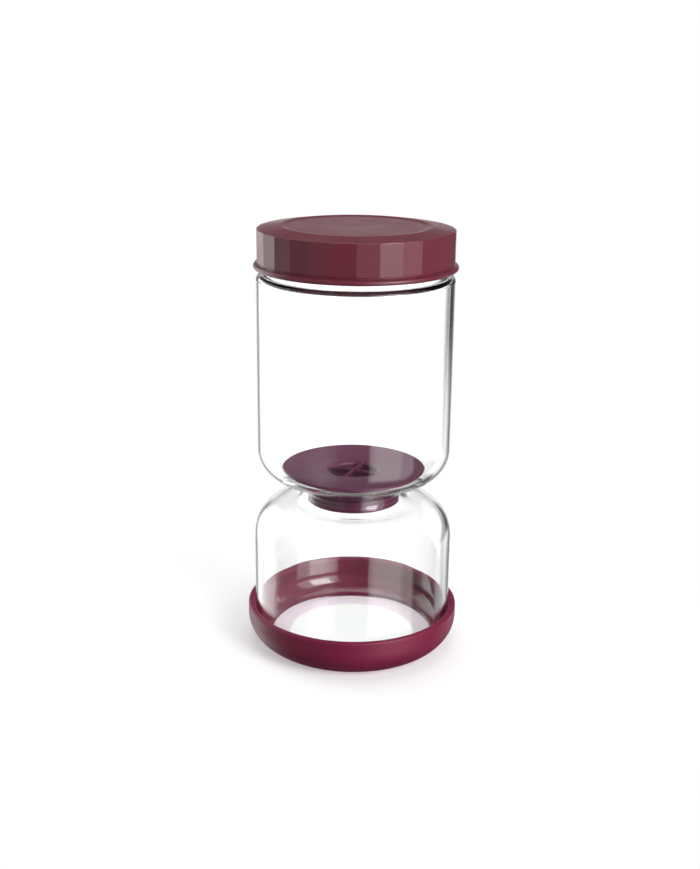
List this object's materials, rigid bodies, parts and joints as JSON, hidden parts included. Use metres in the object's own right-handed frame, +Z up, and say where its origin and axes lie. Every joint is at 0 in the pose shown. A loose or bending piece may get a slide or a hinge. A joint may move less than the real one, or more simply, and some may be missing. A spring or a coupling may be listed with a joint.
{
  "type": "pickle keeper jar",
  "caption": "Hourglass glass pickle jar with a faceted screw lid, a silicone strainer plug in its waist and a silicone boot under it.",
  "frame": {"origin": "on the table, under the centre of the boot", "axes": "+Z up along the jar's axis, -Y towards the viewer of the picture, +X to the right"},
  "size_m": [0.1116, 0.1116, 0.2219],
  "materials": {
    "raspberry_silicone": "satin silicone",
    "clear_glass": "clear polished",
    "plum_silicone": "matte silicone",
    "clear_silicone": "translucent silicone",
    "maroon_plastic": "satin moulded"
  },
  "bodies": {
    "base_boot": {"base_boot": "raspberry_silicone"},
    "glass_jar": {"glass_jar": "clear_glass"},
    "strainer": {"strainer": "plum_silicone"},
    "lid_gasket": {"lid_gasket": "clear_silicone"},
    "lid": {"lid": "maroon_plastic"}
  },
  "joints": [
    {"name": "jar_lift", "type": "slide", "parent": "base_boot", "child": "glass_jar", "axis": [0, 0, 1], "range_m": [0, 0.03]},
    {"name": "strainer_lift", "type": "slide", "parent": "glass_jar", "child": "strainer", "axis": [0, 0, 1], "range_m": [0, 0.118]},
    {"name": "lid_rise", "type": "slide", "parent": "glass_jar", "child": "lid_gasket", "axis": [0, 0, 1], "range_m": [0, 0.005]},
    {"name": "lid_turn", "type": "hinge", "parent": "lid_gasket", "child": "lid", "pos_m": [0, 0, 0.21], "axis": [0, 0, 1], "range_deg": [0, 360]}
  ],
  "couplings": [
    {"joint": "lid_rise", "follows": "lid_turn", "m_per_rad": 0.000795}
  ]
}
